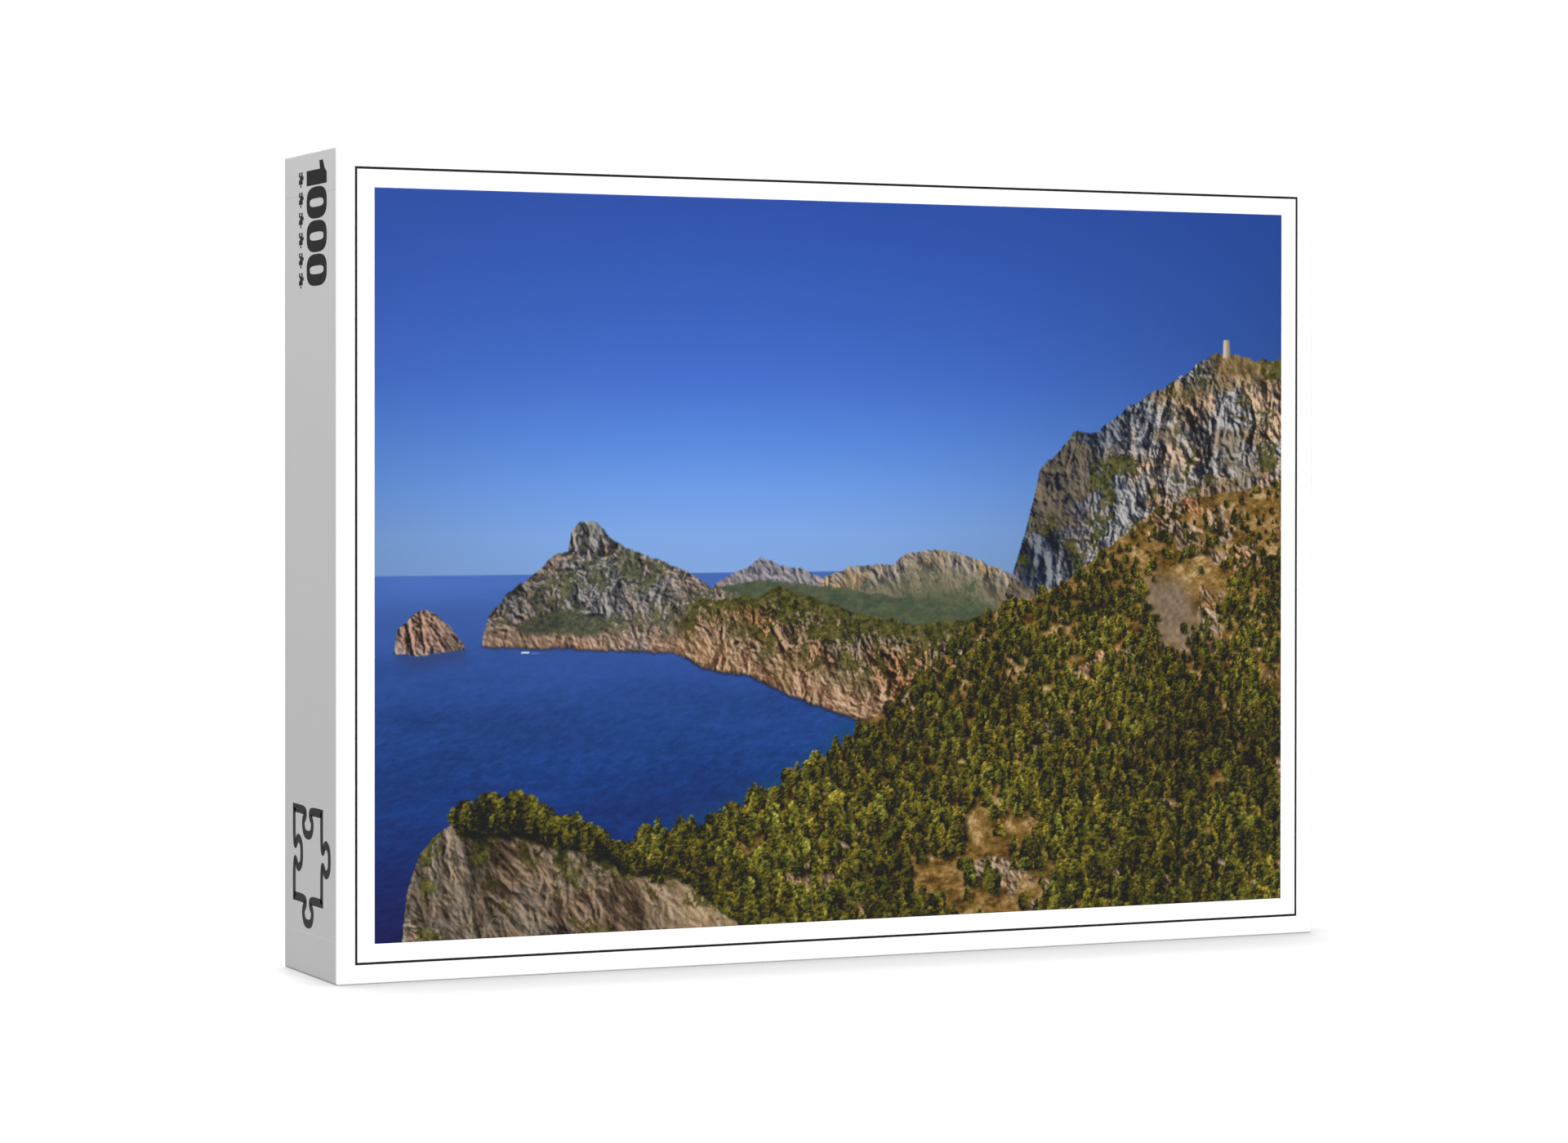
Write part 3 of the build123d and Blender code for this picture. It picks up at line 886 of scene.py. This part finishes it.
def piece_count(start, middle):
    """The number of pieces, 1000, in heavy narrow digits from x = start."""
    top, bottom = middle + digit_height / 2, middle - digit_height / 2
    right = start + one_width
    one = [(right - stem, bottom), (right, bottom), (right, top), (right - stem * 0.72, top)]
    one += [(right - stem, top - 0.0022), (start, top - 0.004), (start, top - 0.0078)]
    one += [(right - stem, top - 0.007)]
    shapes = [[one]]
    for i in range(3):
        x = right + digit_gap + zero_width / 2 + i * (zero_width + digit_gap)
        outline = rounded(zero_width, digit_height, 2.9, (x, middle))
        counter = rounded(counter_width, counter_height, 3.2, (x, middle))
        shapes.append([outline, counter])
    return shapes


# One side of a jigsaw piece as a rough polygon, for a side of length 1, with its knob outward.
knob_polygon = [(-0.5, 0), (-0.1, 0), (-0.08, 0.06), (-0.18, 0.13), (-0.13, 0.26), (0, 0.28)]
knob_polygon += [(-x, y) for x, y in knob_polygon[-2::-1]]


def jigsaw_outline(size):
    """A four-sided jigsaw piece with knobs to the right and the top and hollows opposite."""
    side = knob_polygon
    for _ in range(4):
        cut = [side[0]]
        for (ax, ay), (bx, by) in zip(side, side[1:]):
            cut += [(ax * 0.75 + bx * 0.25, ay * 0.75 + by * 0.25)]
            cut += [(ax * 0.25 + bx * 0.75, ay * 0.25 + by * 0.75)]
        side = cut + [side[-1]]
    loop = []
    for turn, way in enumerate((-1, 1, 1, -1)):
        c, s = (1, 0, -1, 0)[turn], (0, 1, 0, -1)[turn]
        for x, y in side[:-1]:
            out = -0.5 - way * y
            loop.append(((c * x - s * out) * size, (s * x + c * out) * size))
    return loop


def print_line(name, face, loop, width, material):
    """Prints a closed line of an even width as thin ink."""
    path = np.array(loop)
    ahead, behind = np.roll(path, -1, 0) - path, path - np.roll(path, 1, 0)
    ahead /= np.linalg.norm(ahead, axis=1)[:, None]
    behind /= np.linalg.norm(behind, axis=1)[:, None]
    normal = np.stack([ahead[:, 1] + behind[:, 1], -(ahead[:, 0] + behind[:, 0])], 1)
    miter = np.minimum(2 / np.sum(normal**2, axis=1), 1)[:, None] * normal
    edges = np.concatenate([path + miter * width / 2, path - miter * width / 2])
    points = [face.point(x, y, ink) for x, y in edges]
    first = np.arange(len(path))
    after = np.roll(first, -1)
    mesh = quad_mesh(name, points, np.stack([first, after, after + len(path), first + len(path)], 1))
    make_object(name, mesh, material, "lid")


mark_margin = 0.0035  # from the start of the side to the number
number_middle = 0.0204  # how far behind the lid's panel the middle of each mark is
icons_middle = 0.0374
emblem_middle = 0.03
icon_size = 0.004
icon_start = 0.0083
icon_spacing = 0.0067
icon_count = 6
emblem_size = 0.0295
emblem_from_end = 0.04
emblem_line = 0.0029


def side_marks(name, length, corner, across, black):
    """What is printed on a side, from a corner of the lid's panel: the number of pieces over a
    row of small jigsaw pieces, and a larger jigsaw piece at the far end. The artwork's y runs
    away from the tray."""
    face = Face((corner[0], lid_panel, corner[1]), across, (0, -1, 0))
    print_shapes(name + "_number", face, piece_count(mark_margin, -number_middle), black)
    icon = jigsaw_outline(icon_size)
    starts = [icon_start + i * icon_spacing for i in range(icon_count)]
    print_shapes(name + "_icons", face, [[moved(icon, x, -icons_middle)] for x in starts], black)
    emblem = moved(jigsaw_outline(emblem_size), length - emblem_from_end, -emblem_middle)
    print_line(name + "_emblem", face, emblem, emblem_line, black)


def build_side_marks(black):
    left, right, low, high = lid_low.x, lid_high.x, lid_low.z, lid_high.z
    side_marks("left_side", box_height, (left, high), (0, 0, -1), black)
    side_marks("right_side", box_height, (right, low), (0, 0, 1), black)
    side_marks("top_side", box_width, (right, high), (-1, 0, 0), black)


def build_keyline(black):
    inset = 2 * keyline_inset + keyline_width
    x, y = (box_width - inset) / 2, (box_height - inset) / 2
    face = Face((0, lid_panel, box_middle.z), (1, 0, 0), (0, 0, 1))
    print_line("keyline", face, [(-x, -y), (x, -y), (x, y), (-x, y)], keyline_width, black)


# ---- the loose pieces ----
def islands(points, edges):
    """A number for each point that is the same for all points joined by edges."""
    _, first, same = np.unique(np.round(points, 6), axis=0, return_index=True, return_inverse=True)
    label = first[same.ravel()]
    while True:
        lowest = np.minimum(label[edges[:, 0]], label[edges[:, 1]])
        new = label.copy()
        np.minimum.at(new, label[edges[:, 0]], lowest)
        np.minimum.at(new, label[edges[:, 1]], lowest)
        new = new[new[label]]
        if np.array_equal(new, label):
            return label
        label = new


def face_attribute(mesh, name, kind, values):
    data = mesh.attributes.new(name, kind, "FACE").data
    field = "color" if kind == "FLOAT_COLOR" else "value"
    data.foreach_set(field, np.asarray(values, np.float32).ravel())


def read(collection, name, kind, size=1):
    """One property of all the items of a mesh, as an array with size columns."""
    values = np.empty(len(collection) * size, kind)
    collection.foreach_get(name, values)
    return values.reshape(-1, size)


def colour_layer(name, material, painting, rng):
    """A layer of the heap with each piece's own part of the picture on its printed side."""
    mesh = nodes[name].data.copy()
    points = read(mesh.vertices, "co", np.float32, 3)
    label = islands(points, read(mesh.edges, "vertices", np.int32, 2))
    starts = read(mesh.polygons, "loop_start", np.int32).ravel()
    corners = read(mesh.loops, "vertex_index", np.int32).ravel()
    normals = read(mesh.polygons, "normal", np.float32, 3)
    pieces, piece = np.unique(label[corners[starts]], return_inverse=True)
    toward = np.where(rng.random(len(pieces)) < 0.5, -1, 1)[piece]
    facing = normals[:, 1] * toward
    up, across = painting.shape[:2]
    row = rng.integers(0, up - 40, len(pieces))
    column = rng.integers(0, across - 40, len(pieces))
    for ink_name, reach in (("first_ink", 0), ("second_ink", 30)):
        colour = np.ones((len(pieces), 4))
        near_row = row + rng.integers(0, reach + 1)
        near_column = column + rng.integers(0, reach + 1)
        colour[:, :3] = painting[near_row, near_column]
        face_attribute(mesh, ink_name, "FLOAT_COLOR", colour[piece])
    face_attribute(mesh, "printed", "FLOAT", facing > 0.7)
    face_attribute(mesh, "backed", "FLOAT", facing < -0.7)
    looks = name.replace("puzzle_pieces", "loose_pieces")
    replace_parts(make_object(looks, mesh, material, "bag"), name)


def build_pieces(painting):
    material = pieces_material()
    rng = np.random.default_rng(19)
    for name in sorted(nodes):
        if name.startswith("puzzle_pieces"):
            colour_layer(name, material, painting, rng)


# ---- the bag ----
film_chamfer = 0.009
film_gap = 0.001  # between the pieces and the film where it lies closest, before its slack
slack_depth = 0.0034
tuck_depth = 0.0045
deepest_bulge = 0.006
tuck_reach = 0.035  # how far the tucks run from the seals
seal_width = 0.009
seal_lap = 0.0004  # of the seal over the film
crimp = 0.0012
crimp_depth = 0.00016


def dense_box(half):
    """A box of small faces, as a bmesh, and its points around the middle."""
    box = bmesh.new()
    bmesh.ops.create_cube(box, size=2)
    step = 0.0025
    for axis in range(3):
        along = [e for e in box.edges if abs((e.verts[0].co - e.verts[1].co)[axis]) > 1]
        cuts = int(2 * half[axis] / step)
        bmesh.ops.subdivide_edges(box, edges=along, cuts=cuts, use_grid_fill=True)
    return box, np.array([v.co for v in box.verts]) * half


def chamfer(points, half):
    """Brings points in at the box's long edges, in place."""
    for side in (0, 2):
        excess = abs(points[:, side]) - half[side] + abs(points[:, 1]) - half[1] + film_chamfer
        excess = np.clip(excess, 0, None) / 2
        points[:, side] -= np.sign(points[:, side]) * excess
        points[:, 1] -= np.sign(points[:, 1]) * excess


def bulge(points, half):
    """How far the film's front stands out: slack in long ripples, and tucks toward the seals."""
    x, y, z = points.T
    slack = ridges(x * 26 + 3 * z, z * 9 + 40, 71, 4, 0.6) - 0.45
    tucks = ridges(x * 75, z * 14 + 20, 83, 4, 0.6) - 0.5
    near_seal = np.exp(-(half[2] - abs(z)) / tuck_reach)
    inside = np.minimum(half[0] - abs(x), half[2] - abs(z))
    front_only = unit(-y / half[1]) * unit(inside / 0.012)
    out = film_gap + slack * slack_depth + tucks * near_seal * tuck_depth
    return front_only * np.clip(out, -0.0001, deepest_bulge)


def build_seal(name, low, high, start, end, material):
    """A crimped strip of film between two heights, at the middle of the bag's depth."""
    across, up = 560, 12
    x, t = np.meshgrid(np.linspace(low.x, high.x, across), np.linspace(0, 1, up))
    wave = crimp_depth * np.sin(x * 2 * math.pi / crimp) * unit(t * 4)
    y = (high.y + low.y) / 2 + wave + 0.0006 * (clouds(x * 18, t + 5, 97, 3) - 0.5)
    z = start + (end - start) * t + 0.0002 * np.sin(x * 900) * t
    seal = quad_mesh(name, np.stack([x, y, z], 2).reshape(-1, 3), grid_quads(across, up))
    seal.shade_smooth()
    make_object(name, seal, material, "bag")


def build_bag():
    """A pillow bag of thin film, closed by a crimped seal along its top and its bottom."""
    low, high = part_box("bag_film")
    low.z, high.z = low.z + seal_width, high.z - seal_width
    half = (high - low) / 2
    bag, points = dense_box(half)
    chamfer(points, half)
    points[:, 1] -= bulge(points, half)
    points += np.array((high + low) / 2)
    for vertex, point in zip(bag.verts, points):
        vertex.co = point
    mesh = bpy.data.meshes.new("film_bag")
    bag.to_mesh(mesh)
    bag.free()
    mesh.shade_smooth()
    film = film_material()
    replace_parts(make_object("film_bag", mesh, film, "bag"), "bag_film")
    reach = seal_width - seal_lap / 2
    build_seal("top_seal", low, high, high.z - seal_lap, high.z + reach, film)
    build_seal("bottom_seal", low, high, low.z + seal_lap, low.z - reach, film)


# ---- studio ----
behind_the_front = (0.05, 0.9, 0.43)  # which way the longer shadow's floor looks
touch_shadow = 0.012
long_shadow = 0.05
world_light = 0.25
backdrop_brightness = 1.05


def build_floor():
    """A plain pale floor with a soft shadow where the box meets it and a longer one before it."""
    bpy.ops.mesh.primitive_plane_add(size=60, location=(0, 0, 0))
    floor = bpy.context.object
    floor.name = "floor"
    s = Shader("pale_floor")
    touching = s.node("AmbientOcclusion", {"Distance": touch_shadow}, samples=12).outputs["AO"]
    behind = s.node("CombineXYZ", dict(zip("XYZ", behind_the_front))).outputs[0]
    inputs = {"Distance": long_shadow, "Normal": behind}
    before = s.node("AmbientOcclusion", inputs, samples=12).outputs["AO"]
    shade = s.times(s.scale(touching, 0.72, 1, 0.5), s.scale(before, 0.58, 0.96, 0.35))
    seen = s.node("LightPath").outputs["Is Camera Ray"]
    albedo = s.mix(seen, grey(0.36), grey(0.18))
    diffuse = s.node("BsdfDiffuse", {"Color": albedo}).outputs[0]
    glow = s.node("Emission", {"Strength": s.times(seen, shade)}).outputs[0]
    both = s.node("AddShader", {0: diffuse, 1: glow}).outputs[0]
    s.feed(s.tree.nodes["Material Output"].inputs["Surface"], both)
    s.tree.nodes.remove(s.surface)
    floor.data.materials.append(s.material)


def aim(lamp, from_where):
    lamp.rotation_euler = Vector(from_where).to_track_quat("Z", "Y").to_euler()


def add_sun(name, toward, strength, softness):
    """A soft sun that shines from the direction given."""
    light = bpy.data.lights.new(name, "SUN")
    light.energy = strength * math.pi
    light.angle = math.radians(softness)
    sun = bpy.data.objects.new(name, light)
    aim(sun, toward)
    link(sun)


def build_side_fill():
    """A small lamp above the left side, which it lights more at the top, as in the photo."""
    lamp = bpy.data.lights.new("side_fill", "AREA")
    lamp.energy, lamp.size = 1.85, 0.3
    holder = bpy.data.objects.new("side_fill", lamp)
    holder.location = (-0.5, 0, 0.78)
    aim(holder, holder.location - Vector((lid_low.x, 0, 0.2)))
    link(holder)


def build_world():
    """A white world that the camera sees brighter than it shines."""
    world = bpy.data.worlds.new("studio")
    bpy.context.scene.world = world
    world.use_nodes = True
    tree = world.node_tree
    strength = tree.nodes.new("ShaderNodeMapRange")
    path = tree.nodes.new("ShaderNodeLightPath")
    tree.links.new(path.outputs["Is Camera Ray"], strength.inputs["Value"])
    strength.inputs["To Min"].default_value = world_light
    strength.inputs["To Max"].default_value = backdrop_brightness
    background = tree.nodes["Background"]
    background.inputs["Color"].default_value = (1, 1, 1, 1)
    tree.links.new(strength.outputs[0], background.inputs["Strength"])


def build_light():
    add_sun("key", (-0.05, -0.82, 0.6), 1.1, 25)
    add_sun("back_fill", (0.25, 0.9, 0.42), 0.42, 30)
    build_side_fill()
    build_world()


def build_camera():
    """The photo's camera, as found from the corners of the box in it."""
    camera = bpy.data.cameras.new("camera")
    camera.lens, camera.sensor_width, camera.shift_y = 93.03, 36, -0.0456
    camera.clip_start, camera.clip_end = 0.05, 100
    holder = bpy.data.objects.new("camera", camera)
    holder.location = (-0.5973, -1.2855, 0.1689)
    holder.rotation_euler = [math.radians(angle) for angle in (89.53, -0.04, -24.46)]
    link(holder)
    bpy.context.scene.camera = holder
    bpy.context.scene.view_settings.view_transform = "Standard"


# ---- all of it ----
def give(name, material):
    """The only material of a CAD node."""
    materials = nodes[name].data.materials
    materials.clear()
    materials.append(material)


give("lid_wrap", paper_material("printed_paper", 0.9, 0.4, lid_panel))
give("tray_wrap", paper_material("white_paper", 0.86, 0.48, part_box("tray_wrap")[1].y))
board, tape = greyboard_material(), tape_material()
for half in ("lid", "tray"):
    give(half + "_board", board)
    give(half + "_corner_tapes", tape)

black = ink_material("black_ink", 0.006)
painting = build_picture()
build_keyline(black)
build_side_marks(black)
build_pieces(painting)
build_bag()
build_floor()
build_light()
build_camera()
